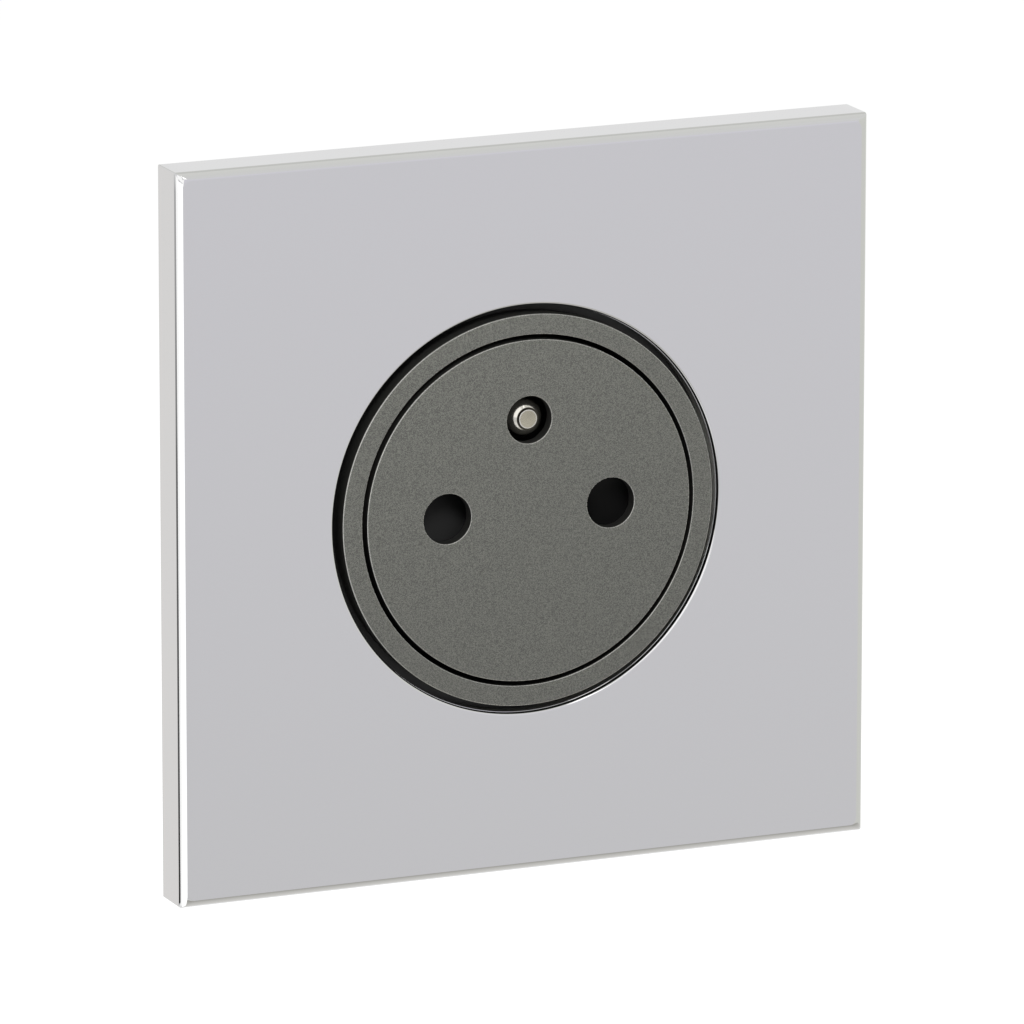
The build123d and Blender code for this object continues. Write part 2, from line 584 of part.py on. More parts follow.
def terminal_openings(terminal):
    """Two funnelled wire entries and the window of the release button, for one terminal."""
    x, side, bar = terminal
    window_width = BUTTON_WIDTH + 2 * BUTTON_FIT
    window_height = BUTTON_THICKNESS + 2 * BUTTON_FIT
    cuts = block(window_width, window_height, REAR_INSIDE, REAR_BACK, x, side * (bar + BUTTON_RISE))
    entry_z = side * (bar + STRIP / 2 + ENTRY_SIZE / 2)
    mouth_size = ENTRY_SIZE + 2 * ENTRY_FUNNEL
    for step in (-1, 1):
        entry_x = x + step * ENTRY_SPACING / 2
        cuts += block(ENTRY_SIZE, ENTRY_SIZE, REAR_INSIDE, REAR_BACK, entry_x, entry_z)
        mouth = Plane.XZ.offset(-REAR_BACK) * Pos(entry_x, entry_z) * Rectangle(mouth_size, mouth_size)
        cuts += extrude(mouth, amount=ENTRY_FUNNEL, taper=45)
    return cuts


def line_contact():
    """Two arms that grip the right pin from above and below, a tail down the rear wall and a terminal bar."""
    arm_tip = FLOOR_BACK + CONTACT_FRONT_GAP
    arm_waist = arm_tip + CONTACT_MOUTH_LENGTH
    pinch = PIN_RADIUS - CONTACT_PRELOAD + STRIP / 2
    tail_depth = REAR_INSIDE - STRIP / 2
    arm_back = tail_depth - STRIP / 2
    arms = FilletPolyline(
        (arm_tip, CONTACT_MOUTH),
        (arm_waist, pinch),
        (arm_back, CONTACT_BACK_HALF),
        (arm_back, -CONTACT_BACK_HALF),
        (arm_waist, -pinch),
        (arm_tip, -CONTACT_MOUTH),
        radius=CONTACT_BEND,
    )
    tail = FilletPolyline(
        (tail_depth, CONTACT_BACK_HALF - CONTACT_BEND),
        (tail_depth, -POLE_BAR_OFFSET),
        (BAR_FRONT, -POLE_BAR_OFFSET),
        radius=BAR_BEND,
    )
    contact = folded(arms, STRIP, CONTACT_WIDTH, PIN_X) + folded(tail, STRIP, CONTACT_WIDTH, PIN_X)
    bar_back = REAR_INSIDE - BAR_BACK_GAP
    return contact + block(TERMINAL_WIDTH, STRIP, BAR_FRONT, bar_back, TERMINAL_OFFSET, -POLE_BAR_OFFSET)


def earth_pin():
    """A turned pin with a tapered nose, a collar behind the well's floor and a riveted end."""
    bar_back = EARTH_BAR_FRONT + STRIP
    outline = make_face(
        Polyline(
            (0, EARTH_TIP),
            (EARTH_TIP_RADIUS, EARTH_TIP),
            (EARTH_SHOULDER_RADIUS, EARTH_TIP + EARTH_SHOULDER_LENGTH),
            (EARTH_RADIUS, EARTH_TIP + EARTH_NOSE_LENGTH),
            (EARTH_RADIUS, FLOOR_BACK),
            (EARTH_COLLAR_RADIUS, FLOOR_BACK),
            (EARTH_COLLAR_RADIUS, EARTH_BAR_FRONT),
            (EARTH_STUB_RADIUS, EARTH_BAR_FRONT),
            (EARTH_STUB_RADIUS, bar_back),
            (EARTH_RIVET_RADIUS, bar_back),
            (EARTH_RIVET_RADIUS, bar_back + EARTH_RIVET),
            (0, bar_back + EARTH_RIVET),
            close=True,
        )
    )
    return Pos(0, 0, EARTH_OFFSET) * turned(outline)


def earth_bar():
    """A bar riveted to the earth pin and folded back as the earth terminal."""
    middle = EARTH_BAR_FRONT + STRIP / 2
    path = FilletPolyline(
        (middle, EARTH_OFFSET + EARTH_BAR_MARGIN),
        (middle, EARTH_BAR_OFFSET),
        (REAR_INSIDE - BAR_BACK_GAP, EARTH_BAR_OFFSET),
        radius=BAR_BEND,
    )
    bar = folded(path, STRIP, TERMINAL_WIDTH)
    rivet_hole = EARTH_STUB_RADIUS + PRESS_FIT
    return bar - disc(rivet_hole, EARTH_BAR_FRONT, EARTH_BAR_FRONT + STRIP, z=EARTH_OFFSET)


def clamp_spring(terminal):
    """A folded leaf whose free leg leans on the terminal bar."""
    x, side, bar = terminal
    back = REAR_INSIDE - CLAMP_END_GAP - CLAMP_STRIP / 2
    front = FLOOR_BACK + CLAMP_FRONT_GAP
    outer = bar + CLAMP_RISE
    tip = bar + STRIP / 2 + CLAMP_STRIP / 2 + CLAMP_TIP_GAP
    path = FilletPolyline(
        (front, side * outer),
        (back, side * outer),
        (back, side * (outer - CLAMP_FOLD)),
        (front, side * tip),
        radius=CLAMP_BEND,
    )
    return folded(path, CLAMP_STRIP, CLAMP_WIDTH, x)


def release_button(terminal):
    """A push button whose tip spreads the clamp, held in its window by a shoulder."""
    x, side, bar = terminal
    z = side * (bar + BUTTON_RISE)
    shoulder_back = REAR_INSIDE - BUTTON_SHOULDER_GAP
    shoulder_front = shoulder_back - BUTTON_SHOULDER
    tip = shoulder_front - BUTTON_TIP
    head = REAR_BACK + BUTTON_PROUD
    button = block(BUTTON_WIDTH, BUTTON_THICKNESS, tip, head, x, z)
    button += block(BUTTON_SHOULDER_WIDTH, BUTTON_THICKNESS, shoulder_front, shoulder_back, x, z)
    return button - block(BUTTON_WIDTH / 2, BUTTON_GROOVE, head - BUTTON_GROOVE, head, x, z)


def return_spring():
    """A coil spring between the carrier's cup and the rear wall."""
    front = CARRIER_BACK + SPRING_END_GAP + SPRING_WIRE / 2
    length = REAR_INSIDE - SPRING_END_GAP - SPRING_WIRE / 2 - front
    path = Helix(
        pitch=length / SPRING_TURNS,
        height=length,
        radius=SPRING_RADIUS,
        center=(0, front, 0),
        direction=(0, 1, 0),
    )
    section = Plane(origin=path @ 0, z_dir=path % 0) * Rectangle(SPRING_WIRE, SPRING_WIRE)
    return sweep(section, path=path, is_frenet=True)


def housing_screws():
    """Recessed screws from the rear housing into the front body's bosses."""
    tip = JOIN_HEAD_SEAT - JOIN_SCREW_LENGTH
    outline = make_face(
        Polyline(
            (0, tip),
            (JOIN_SCREW_RADIUS, tip),
            (JOIN_SCREW_RADIUS, JOIN_HEAD_SEAT),
            (JOIN_HEAD_RADIUS, JOIN_HEAD_SEAT),
            (JOIN_HEAD_RADIUS, REAR_BACK),
            (0, REAR_BACK),
            close=True,
        )
    )
    screw = turned(outline)
    recess = block(JOIN_RECESS_LENGTH, JOIN_RECESS_WIDTH, REAR_BACK - JOIN_RECESS_DEPTH, REAR_BACK)
    screw -= recess + Rot(0, 90, 0) * recess
    return Part() + [Pos(x, 0, z) * screw for x, z in JOIN_SCREW_PLACES]


right_contact = line_contact()
pieces = {
    "cover_plate": cover_plate(),
    "plate_clip_frame": plate_clip_frame(),
    "support_frame": support_frame(),
    "trim_ring": trim_ring(),
    "face_disc": face_disc(),
    "shutter_carrier": shutter_carrier(),
    "safety_shutter": safety_shutter(),
    "shutter_spring": shutter_spring(),
    "front_body": front_body(),
    "rear_housing": rear_housing(),
    "line_contact": right_contact,
    "neutral_contact": mirror(right_contact, about=Plane.YZ),
    "earth_pin": earth_pin(),
    "earth_bar": earth_bar(),
    "line_clamp_spring": clamp_spring(LINE_TERMINAL),
    "neutral_clamp_spring": clamp_spring(NEUTRAL_TERMINAL),
    "earth_clamp_spring": clamp_spring(EARTH_TERMINAL),
    "line_release_button": release_button(LINE_TERMINAL),
    "neutral_release_button": release_button(NEUTRAL_TERMINAL),
    "earth_release_button": release_button(EARTH_TERMINAL),
    "return_spring": return_spring(),
    "housing_screws": housing_screws(),
}

os.makedirs("parts", exist_ok=True)
for name, piece in pieces.items():
    export_step(piece, f"parts/{name}.step")
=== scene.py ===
import json
import math

import bmesh
import bpy
from mathutils import Matrix, Vector
from mathutils.geometry import delaunay_2d_cdt


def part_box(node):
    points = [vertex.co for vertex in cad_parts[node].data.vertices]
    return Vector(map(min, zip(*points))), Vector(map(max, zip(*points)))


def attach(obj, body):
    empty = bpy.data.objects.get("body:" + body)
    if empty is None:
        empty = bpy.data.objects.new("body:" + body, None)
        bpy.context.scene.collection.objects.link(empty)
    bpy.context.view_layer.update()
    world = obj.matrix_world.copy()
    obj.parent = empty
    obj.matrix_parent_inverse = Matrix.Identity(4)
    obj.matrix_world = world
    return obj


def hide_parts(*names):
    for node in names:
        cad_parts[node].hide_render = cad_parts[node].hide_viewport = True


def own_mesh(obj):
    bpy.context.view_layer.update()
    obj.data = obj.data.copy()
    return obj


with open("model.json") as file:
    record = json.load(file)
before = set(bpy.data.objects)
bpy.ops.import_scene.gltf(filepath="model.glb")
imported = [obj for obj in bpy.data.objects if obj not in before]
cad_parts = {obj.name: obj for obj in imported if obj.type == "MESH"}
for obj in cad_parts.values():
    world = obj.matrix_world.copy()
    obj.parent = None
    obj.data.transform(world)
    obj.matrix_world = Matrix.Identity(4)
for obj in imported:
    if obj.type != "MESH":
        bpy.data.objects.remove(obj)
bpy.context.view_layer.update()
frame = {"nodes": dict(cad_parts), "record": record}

# Flush earthed wall socket. X runs to the right seen from the room, Y into the wall and Z up.
# Sizes are in millimetres unless a name says otherwise, and MM turns them into the scene's metres.
MM = 0.001
NODES = frame["nodes"]

# Camera, fitted to the plate's edges and the rings in the photo. Angles in degrees.
CAMERA_YAW = 23.32
CAMERA_PITCH = 13.77
CAMERA_ROLL = 0.03
CAMERA_DISTANCE = 1187.6
CAMERA_TARGET_X = -1.77
CAMERA_TARGET_Z = -0.09
CAMERA_LENS = 390.6
CAMERA_SENSOR = 36.0
CAMERA_REACH_M = 100

# Studio: strength of the ambient light, the floor, and the cards that the polished plate mirrors
AMBIENT = 0.3
FLOOR_HEIGHT = -320
FLOOR_SIZE = 8000
FLOOR_GREY = 0.8
FLOOR_SEEN_GREY = 0.2
FLOOR_SEEN_GLOW = 0.94
CARD_RADIUS = 700
SOFTBOX_RADIUS = 690
CARD_STEPS = 24
UPPER_SOFTBOX_COLOUR = (2.2, 2.2, 2.18)
REAR_CEILING_COLOUR = (0.83, 0.835, 0.8)

# Strip lamp beside the plate's left edge, in millimetres, degrees from the front, and watts
EDGE_LIGHT_BEARING = 36
EDGE_LIGHT_DISTANCE = 7
EDGE_LIGHT_WIDTH = 8.8
EDGE_LIGHT_HEIGHT = 98
EDGE_LIGHT_MIDDLE = -11
EDGE_LIGHT_POWER = 0.0026

# Cover plate
PLATE_EDGE_RADIUS = 0.85
PLATE_CORNER_RADIUS = 0.15
PLATE_FACE_CORNER = 0.8
PLATE_HOLE_RADIUS = 22.4
PLATE_HOLE_EDGE = 0.3
PLATE_HOLE_LAND = 0.65
PLATE_LIP_DEPTH = 0.6
PLATE_LIP_WIDTH = 0.027
PLATE_COUNTERBORE_RADIUS = 23.3
PLATE_FRONT_WALL = 1.6
PLATE_RIM_WALL = 1.8
PLATE_HOLLOW_CORNER = 1.5
STAKE_RADIUS = 1.2
STAKE_HEIGHT = 1.4
STAKE_OFFSET = 29.0
STAKE_ROOT = 0.2

# Trim ring
RING_WIDTH = 2.25
RING_FLANGE = 1.55
RING_TUBE_WALL = 1.15
RING_EDGE = 0.12

# Face
FACE_WALL = 1.4
FACE_SKIRT_WALL = 1.1
FACE_EDGE = 0.12
HOLE_EDGE = 0.09
PIN_SPACING = 19.0
PIN_HOLE_RADIUS = 2.75
EARTH_HOLE_RADIUS = 2.6
LUG_WINDOW_FRONT = -2.45
LUG_WINDOW_BACK = -0.3
LUG_ANGLES = (30, 150, 270)
LUG_WINDOW_HALF_ANGLE = 25 / 3

# Earth pin
EARTH_RADIUS = 2.4
EARTH_TIP_RADIUS = 1.05
EARTH_TIP_EDGE = 0.05
EARTH_WEAR_RADIUS = 0.93
EARTH_TIP_STEP = 0.2
EARTH_SHOULDER_RADIUS = 1.25
EARTH_COLLAR = 1.6
EARTH_STUB_RADIUS = 1.1
EARTH_RIVET_RADIUS = 1.45
EARTH_RIVET = 0.6
EARTH_BAR = 0.6

# Return spring
SPRING_WIRE = 0.7
SPRING_TURNS = 5.0

# Fineness of the meshes
TURN_SEGMENTS = 216
HOLE_SEGMENTS = 96
SIDE_POINTS = 44
CORNER_POINTS = 10
ROUND_STEPS = 8
DOME_STEPS = 24
COIL_STEPS = 48
WIRE_POINTS = 16
FLAT_STRIP = 0.03
SMOOTH_ANGLE = 32.0
WELD = 0.0005

# Kind of output of delaunay_2d_cdt that gives triangles, those in the holes too
DELAUNAY_OUTPUT = 2

# A painted piece's face counts as a wall if its normal's Y is above the first, as an edge if above the second
WALL_NORMAL_Y = -0.2
EDGE_NORMAL_Y = -0.97

# Factors at which a mix of two colours starts and ends
MIX_START = 0.3
MIX_END = 0.7

# Lengths of the fine lines in drawn metal along each axis, and their depth on turned and worn metal
SPRING_LINES = (0.1, 3.0, 0.1)
SHEET_LINES = (0.1, 4.0, 4.0)
PIN_LINES = (0.12, 3.0, 0.12)
EVEN_LINES = (0.3, 0.3, 0.3)
FINE_DEPTH = 0.001


def corners(node):
    """Lowest and highest corner of a node at rest, in millimetres."""
    low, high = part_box(node)
    return Vector(low) / MM, Vector(high) / MM


def soften(outline, rounds):
    """Round corners of a closed outline of pairs, by the radius that rounds gives for a corner's index.

    Each round has a short flat strip on either side. Each point comes with the index of its corner.
    """
    points = []
    for index, corner in enumerate(outline):
        radius = rounds.get(index)
        here = Vector(corner)
        if not radius:
            points.append((index, here))
            continue
        before = (Vector(outline[index - 1]) - here).normalized()
        after = (Vector(outline[(index + 1) % len(outline)]) - here).normalized()
        half_angle = before.angle(after) / 2
        reach = radius / math.tan(half_angle)
        centre = here + (before + after).normalized() * (radius / math.sin(half_angle))
        points.append((index, here + before * (reach + FLAT_STRIP)))
        start = here + before * reach - centre
        end = here + after * reach - centre
        sweep = start.angle(end)
        for step in range(ROUND_STEPS + 1):
            share = step / ROUND_STEPS
            along = start * math.sin((1 - share) * sweep) + end * math.sin(share * sweep)
            points.append((index, centre + along / math.sin(sweep)))
        points.append((index, here + after * (reach + FLAT_STRIP)))
    return points


def circle(radius, depth, segments=TURN_SEGMENTS, x=0.0, z=0.0, start=0.0):
    """A loop of points round an axis along Y."""
    turns = (start + 2 * math.pi * step / segments for step in range(segments))
    return [Vector((x + radius * math.cos(turn), depth, z + radius * math.sin(turn))) for turn in turns]


def rounded_square(half, corner_radius, depth):
    """A square loop of points with rounded corners, starting at the lower right corner."""
    points = []
    inner = half - corner_radius
    for quarter in range(4):
        turn = Matrix.Rotation(math.pi / 2 * quarter, 2)
        for step in range(CORNER_POINTS):
            angle = math.pi / 2 * (step / (CORNER_POINTS - 1) - 1)
            right = inner + corner_radius * math.cos(angle)
            up = corner_radius * math.sin(angle) - inner
            points.append(turn @ Vector((right, up)))
        for step in range(1, SIDE_POINTS + 1):
            points.append(turn @ Vector((half, inner * (2 * step / (SIDE_POINTS + 1) - 1))))
    return [Vector((point.x, depth, point.y)) for point in points]


def skin(mesh, loops, closed=False, skip=()):
    """Join loops of equal length by quads, leaving out the cells in skip, and return their vertices."""
    rows = [[mesh.verts.new(point * MM) for point in loop] for loop in loops]
    count = len(rows)
    for row in range(count if closed else count - 1):
        here, there = rows[row], rows[(row + 1) % count]
        for step in range(len(here)):
            if (row, step) in skip:
                continue
            after = (step + 1) % len(here)
            mesh.faces.new((here[step], here[after], there[after], there[step]))
    return rows


def flat(mesh, outer, holes):
    """Fill a flat face at one depth between an outer loop and the loops of its holes."""
    loops = [outer, *holes]
    depth = outer[0].y
    points = [Vector((point.x, point.z)) for loop in loops for point in loop]
    edges = []
    first = 0
    for loop in loops:
        count = len(loop)
        edges += [(first + step, first + (step + 1) % count) for step in range(count)]
        first += count
    places, _, triangles, *_ = delaunay_2d_cdt(points, edges, [], DELAUNAY_OUTPUT, WELD)
    verts = [mesh.verts.new(Vector((place.x, depth, place.y)) * MM) for place in places]
    for triangle in triangles:
        centre = sum((places[index] for index in triangle), Vector((0, 0))) / len(triangle)
        if not any(inside(centre, hole) for hole in holes):
            mesh.faces.new([verts[index] for index in triangle])


def inside(point, loop):
    """True if a point lies inside a round loop."""
    centre = sum(loop, Vector()) / len(loop)
    return math.hypot(point.x - centre.x, point.y - centre.z) < math.dist(loop[0], centre)


def spin(mesh, outline, segments=TURN_SEGMENTS, x=0.0, z=0.0, closed=True, skip=()):
    """Turn an outline of radius and depth about an axis along Y."""
    return skin(mesh, [circle(radius, depth, segments, x, z) for radius, depth in outline], closed, skip)


def finish_piece(mesh, name, body, nodes):
    """Close up a mesh and make it a smooth piece that rides on a body in place of CAD nodes."""
    bmesh.ops.remove_doubles(mesh, verts=mesh.verts, dist=WELD * MM)
    loose = [vert for vert in mesh.verts if not vert.link_faces]
    bmesh.ops.delete(mesh, geom=loose, context="VERTS")
    bmesh.ops.recalc_face_normals(mesh, faces=mesh.faces)
    data = bpy.data.meshes.new(name)
    mesh.to_mesh(data)
    mesh.free()
    data.shade_smooth()
    data.set_sharp_from_angle(angle=math.radians(SMOOTH_ANGLE))
    piece = bpy.data.objects.new(name, data)
    bpy.context.collection.objects.link(piece)
    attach(piece, body)
    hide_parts(*nodes)
    return piece


def make_cover_plate():
    """The polished plate: a rounded front edge, a hole with a fine lip in it, and a hollow back."""
    low, high = corners("cover_plate")
    half, front = high.x, low.y
    hollow = front + PLATE_FRONT_WALL
    land = front + PLATE_HOLE_LAND
    lip = front + PLATE_LIP_DEPTH
    outline = [
        (half, high.y),
        (half, front),
        (PLATE_HOLE_RADIUS, front),
        (PLATE_HOLE_RADIUS, lip),
        (PLATE_HOLE_RADIUS - PLATE_LIP_WIDTH, lip),
        (PLATE_HOLE_RADIUS - PLATE_LIP_WIDTH, land),
        (PLATE_COUNTERBORE_RADIUS, land),
        (PLATE_COUNTERBORE_RADIUS, hollow),
        (half - PLATE_RIM_WALL, hollow),
        (half - PLATE_RIM_WALL, high.y),
    ]
    round_points = range(2, 8)
    hollow_points = range(8, 10)
    loops = []
    for index, (reach, depth) in soften(outline, {1: PLATE_EDGE_RADIUS, 2: PLATE_HOLE_EDGE}):
        if index in round_points:
            segments = 4 * (SIDE_POINTS + CORNER_POINTS)
            first = -math.pi / 4 - math.pi * (CORNER_POINTS - 1) / segments
            loops.append(circle(reach, depth, segments, start=first))
        elif index in hollow_points:
            loops.append(rounded_square(reach, PLATE_HOLLOW_CORNER, depth))
        else:
            share = min((half - reach) / PLATE_EDGE_RADIUS, 1)
            corner_radius = PLATE_CORNER_RADIUS + share * (PLATE_FACE_CORNER - PLATE_CORNER_RADIUS)
            loops.append(rounded_square(reach, corner_radius, depth))
    mesh = bmesh.new()
    skin(mesh, loops, closed=True)
    root, top = hollow - STAKE_ROOT, hollow + STAKE_HEIGHT
    stake = [(0, root), (STAKE_RADIUS, root), (STAKE_RADIUS, top), (0, top)]
    for x in (-STAKE_OFFSET, STAKE_OFFSET):
        for z in (-STAKE_OFFSET, STAKE_OFFSET):
            spin(mesh, stake, HOLE_SEGMENTS, x, z, closed=False)
    return finish_piece(mesh, "polished_plate", "housing", ["cover_plate"])


def make_trim_ring():
    """The ring round the well, with softly rounded front edges."""
    low, high = corners("trim_ring")
    outer = high.x
    inner = outer - RING_WIDTH
    seat = low.y + RING_FLANGE
    outline = [
        (inner, low.y),
        (outer, low.y),
        (outer, seat),
        (inner + RING_TUBE_WALL, seat),
        (inner + RING_TUBE_WALL, high.y),
        (inner, high.y),
    ]
    mesh = bmesh.new()
    spin(mesh, [point for _, point in soften(outline, {0: RING_EDGE, 1: RING_EDGE})])
    return finish_piece(mesh, "graphite_ring", "housing", ["trim_ring"])


def make_face():
    """The sinking face: a flat wall with three soft-edged holes and a skirt with windows for the lugs."""
    low, high = corners("face_disc")
    radius, front = high.x, low.y
    back = front + FACE_WALL
    inner = radius - FACE_SKIRT_WALL
    outline = [
        (0, front),
        (radius, front),
        (radius, LUG_WINDOW_FRONT),
        (radius, LUG_WINDOW_BACK),
        (radius, high.y),
        (inner, high.y),
        (inner, LUG_WINDOW_BACK),
        (inner, LUG_WINDOW_FRONT),
        (inner, back),
        (0, back),
    ]
    profile = soften(outline, {1: FACE_EDGE})
    wall = [point for index, point in profile if 0 < index < len(outline) - 1]
    places = [index for index, _ in profile if 0 < index < len(outline) - 1]
    outer_start = outline.index((radius, LUG_WINDOW_FRONT))
    inner_start = outline.index((inner, LUG_WINDOW_BACK))
    window_rows = (places.index(outer_start), places.index(inner_start))
    half_steps = round(LUG_WINDOW_HALF_ANGLE / 360 * TURN_SEGMENTS)
    windows = []
    for angle in LUG_ANGLES:
        middle = round(angle / 360 * TURN_SEGMENTS)
        windows.append(range(middle - half_steps, middle + half_steps))
    skip = {(row, step) for row in window_rows for window in windows for step in window}
    mesh = bmesh.new()
    rows = spin(mesh, wall, closed=False, skip=skip)
    for window in windows:
        first, last = window[0], window[-1] + 1
        front_out, back_out = rows[window_rows[0]], rows[window_rows[0] + 1]
        back_in, front_in = rows[window_rows[1]], rows[window_rows[1] + 1]
        for step in window:
            mesh.faces.new((front_out[step], front_out[step + 1], front_in[step + 1], front_in[step]))
            mesh.faces.new((back_out[step], back_out[step + 1], back_in[step + 1], back_in[step]))
        for step in (first, last):
            mesh.faces.new((front_out[step], back_out[step], back_in[step], front_in[step]))
    earth_low, earth_high = corners("earth_pin")
    holes = [
        (PIN_SPACING / 2, 0.0, PIN_HOLE_RADIUS),
        (-PIN_SPACING / 2, 0.0, PIN_HOLE_RADIUS),
        (0.0, (earth_low.z + earth_high.z) / 2, EARTH_HOLE_RADIUS),
    ]
    front_holes, back_holes = [], []
    for x, z, hole_radius in holes:
        section = [(radius, front), (hole_radius, front), (hole_radius, back)]
        edge = [point for index, point in soften(section, {1: HOLE_EDGE}) if index > 0]
        spin(mesh, edge, HOLE_SEGMENTS, x, z, closed=False)
        front_holes.append(circle(*edge[0], HOLE_SEGMENTS, x, z))
        back_holes.append(circle(*edge[-1], HOLE_SEGMENTS, x, z))
    flat(mesh, circle(*wall[0]), front_holes)
    flat(mesh, circle(*wall[-1]), back_holes)
    return finish_piece(mesh, "graphite_face", "face", ["face_disc"])


def make_earth_pin():
    """The turned earth pin: a domed nose with a small flat tip that stands a little proud of the dome."""
    low, high = corners("earth_pin")
    collar_radius = high.x
    tip, end = low.y, high.y
    bar_back = end - EARTH_RIVET
    bar_front = bar_back - EARTH_BAR
    shoulder = tip + EARTH_TIP_STEP
    tilt = math.asin(EARTH_SHOULDER_RADIUS / EARTH_RADIUS)
    dome_centre = shoulder + EARTH_RADIUS * math.cos(tilt)
    dome = []
    for step in range(DOME_STEPS + 1):
        angle = tilt + (math.pi / 2 - tilt) * step / DOME_STEPS
        dome.append((EARTH_RADIUS * math.sin(angle), dome_centre - EARTH_RADIUS * math.cos(angle)))
    outline = [
        (0, tip),
        (EARTH_WEAR_RADIUS, tip),
        (EARTH_TIP_RADIUS, tip),
        (EARTH_TIP_RADIUS, shoulder),
        *dome,
        (EARTH_RADIUS, bar_front - EARTH_COLLAR),
        (collar_radius, bar_front - EARTH_COLLAR),
        (collar_radius, bar_front),
        (EARTH_STUB_RADIUS, bar_front),
        (EARTH_STUB_RADIUS, bar_back),
        (EARTH_RIVET_RADIUS, bar_back),
        (EARTH_RIVET_RADIUS, end),
        (0, end),
    ]
    mesh = bmesh.new()
    points = [point for _, point in soften(outline, {2: EARTH_TIP_EDGE})]
    spin(mesh, points, HOLE_SEGMENTS, z=(low.z + high.z) / 2, closed=False)
    return finish_piece(mesh, "nickel_earth_pin", "housing", ["earth_pin"])


def make_return_spring():
    """A round-wire coil."""
    low, high = corners("return_spring")
    coil_radius = high.x - SPRING_WIRE / 2
    front = low.y + SPRING_WIRE / 2
    length = high.y - low.y - SPRING_WIRE
    steps = int(SPRING_TURNS * COIL_STEPS)
    rise = length / (2 * math.pi * SPRING_TURNS)
    loops = []
    for step in range(steps + 1):
        turn = 2 * math.pi * SPRING_TURNS * step / steps
        out = Vector((math.cos(turn), 0, math.sin(turn)))
        middle = out * coil_radius + Vector((0, front + length * step / steps, 0))
        along = Vector((-coil_radius * math.sin(turn), rise, coil_radius * math.cos(turn)))
        side = out.cross(along.normalized())
        ring = (2 * math.pi * point / WIRE_POINTS for point in range(WIRE_POINTS))
        loops.append([middle + (out * math.cos(a) + side * math.sin(a)) * (SPRING_WIRE / 2) for a in ring])
    mesh = bmesh.new()
    rows = skin(mesh, loops)
    mesh.faces.new(rows[0])
    mesh.faces.new(rows[-1])
    spring = finish_piece(mesh, "coil_spring", "housing", ["return_spring"])
    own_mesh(spring)
    return spring


def make_clamp_spring(pole):
    """The folded leaf of one wire clamp."""
    node = pole + "_clamp_spring"
    mesh = bmesh.new()
    mesh.from_mesh(NODES[node].data)
    leaf = finish_piece(mesh, pole + "_clamp_leaf", "housing", [node])
    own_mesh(leaf)
    return leaf


class Shader:
    """A Principled material and its nodes, addressed by object coordinates in millimetres."""

    def __init__(self, name, colour, roughness, metallic=0.0):
        self.material = bpy.data.materials.new(name)
        self.material.use_nodes = True
        self.nodes = self.material.node_tree.nodes
        self.links = self.material.node_tree.links
        self.surface = self.nodes["Principled BSDF"]
        self.surface.inputs["Base Color"].default_value = (*colour, 1)
        self.surface.inputs["Roughness"].default_value = roughness
        self.surface.inputs["Metallic"].default_value = metallic
        coordinates = self.nodes.new("ShaderNodeTexCoord")
        scale = self.nodes.new("ShaderNodeVectorMath")
        scale.operation = "SCALE"
        scale.inputs["Scale"].default_value = 1 / MM
        self.links.new(coordinates.outputs["Object"], scale.inputs[0])
        self.place = scale.outputs[0]

    def stretched(self, stretch):
        """Coordinates divided by a length along each axis, in millimetres."""
        node = self.nodes.new("ShaderNodeVectorMath")
        node.operation = "DIVIDE"
        node.inputs[1].default_value = stretch
        self.links.new(self.place, node.inputs[0])
        return node.outputs[0]

    def noise(self, stretch, detail=2.0):
        """Noise whose lumps are about as long as stretch says, in millimetres along each axis."""
        node = self.nodes.new("ShaderNodeTexNoise")
        node.inputs["Scale"].default_value = 1.0
        node.inputs["Detail"].default_value = detail
        self.links.new(self.stretched(stretch), node.inputs["Vector"])
        return node.outputs["Fac"]

    def cells(self, size):
        """Two factors that differ from one small cell to the next."""
        node = self.nodes.new("ShaderNodeTexVoronoi")
        node.inputs["Scale"].default_value = 1.0
        self.links.new(self.stretched((size, size, size)), node.inputs["Vector"])
        split = self.nodes.new("ShaderNodeSeparateColor")
        self.links.new(node.outputs["Color"], split.inputs["Color"])
        return split.outputs["Red"], split.outputs["Green"]

    def between(self, factor, low, high):
        """Spread a factor between two numbers."""
        node = self.nodes.new("ShaderNodeMapRange")
        node.inputs["To Min"].default_value = low
        node.inputs["To Max"].default_value = high
        self.links.new(factor, node.inputs["Value"])
        return node.outputs["Result"]

    def colours(self, factor, low, high):
        """Spread a factor between two colours."""
        node = self.nodes.new("ShaderNodeValToRGB")
        node.color_ramp.elements[0].position = MIX_START
        node.color_ramp.elements[0].color = (*low, 1)
        node.color_ramp.elements[1].position = MIX_END
        node.color_ramp.elements[1].color = (*high, 1)
        self.links.new(factor, node.inputs["Fac"])
        return node.outputs["Color"]

    def bump(self, height, depth, strength):
        """Raise the surface by a height, with a depth in millimetres."""
        node = self.nodes.new("ShaderNodeBump")
        node.inputs["Strength"].default_value = strength
        node.inputs["Distance"].default_value = depth * MM
        self.links.new(height, node.inputs["Height"])
        self.set("Normal", node.outputs["Normal"])

    def set(self, socket, value):
        """Link a value to one of the surface's sockets."""
        self.links.new(value, self.surface.inputs[socket])


def shade(colour, share):
    """A colour made lighter or darker by a share."""
    return tuple(channel * share for channel in colour)


def polished_metal(name, colour):
    """Mirror-polished plating with the faint waves that hand polishing leaves."""
    shader = Shader(name, colour, roughness=0.03, metallic=1.0)
    shader.set("Roughness", shader.between(shader.noise((9, 9, 9), detail=4), low=0.02, high=0.06))
    shader.bump(shader.noise((14, 14, 14)), depth=0.004, strength=0.25)
    return shader.material


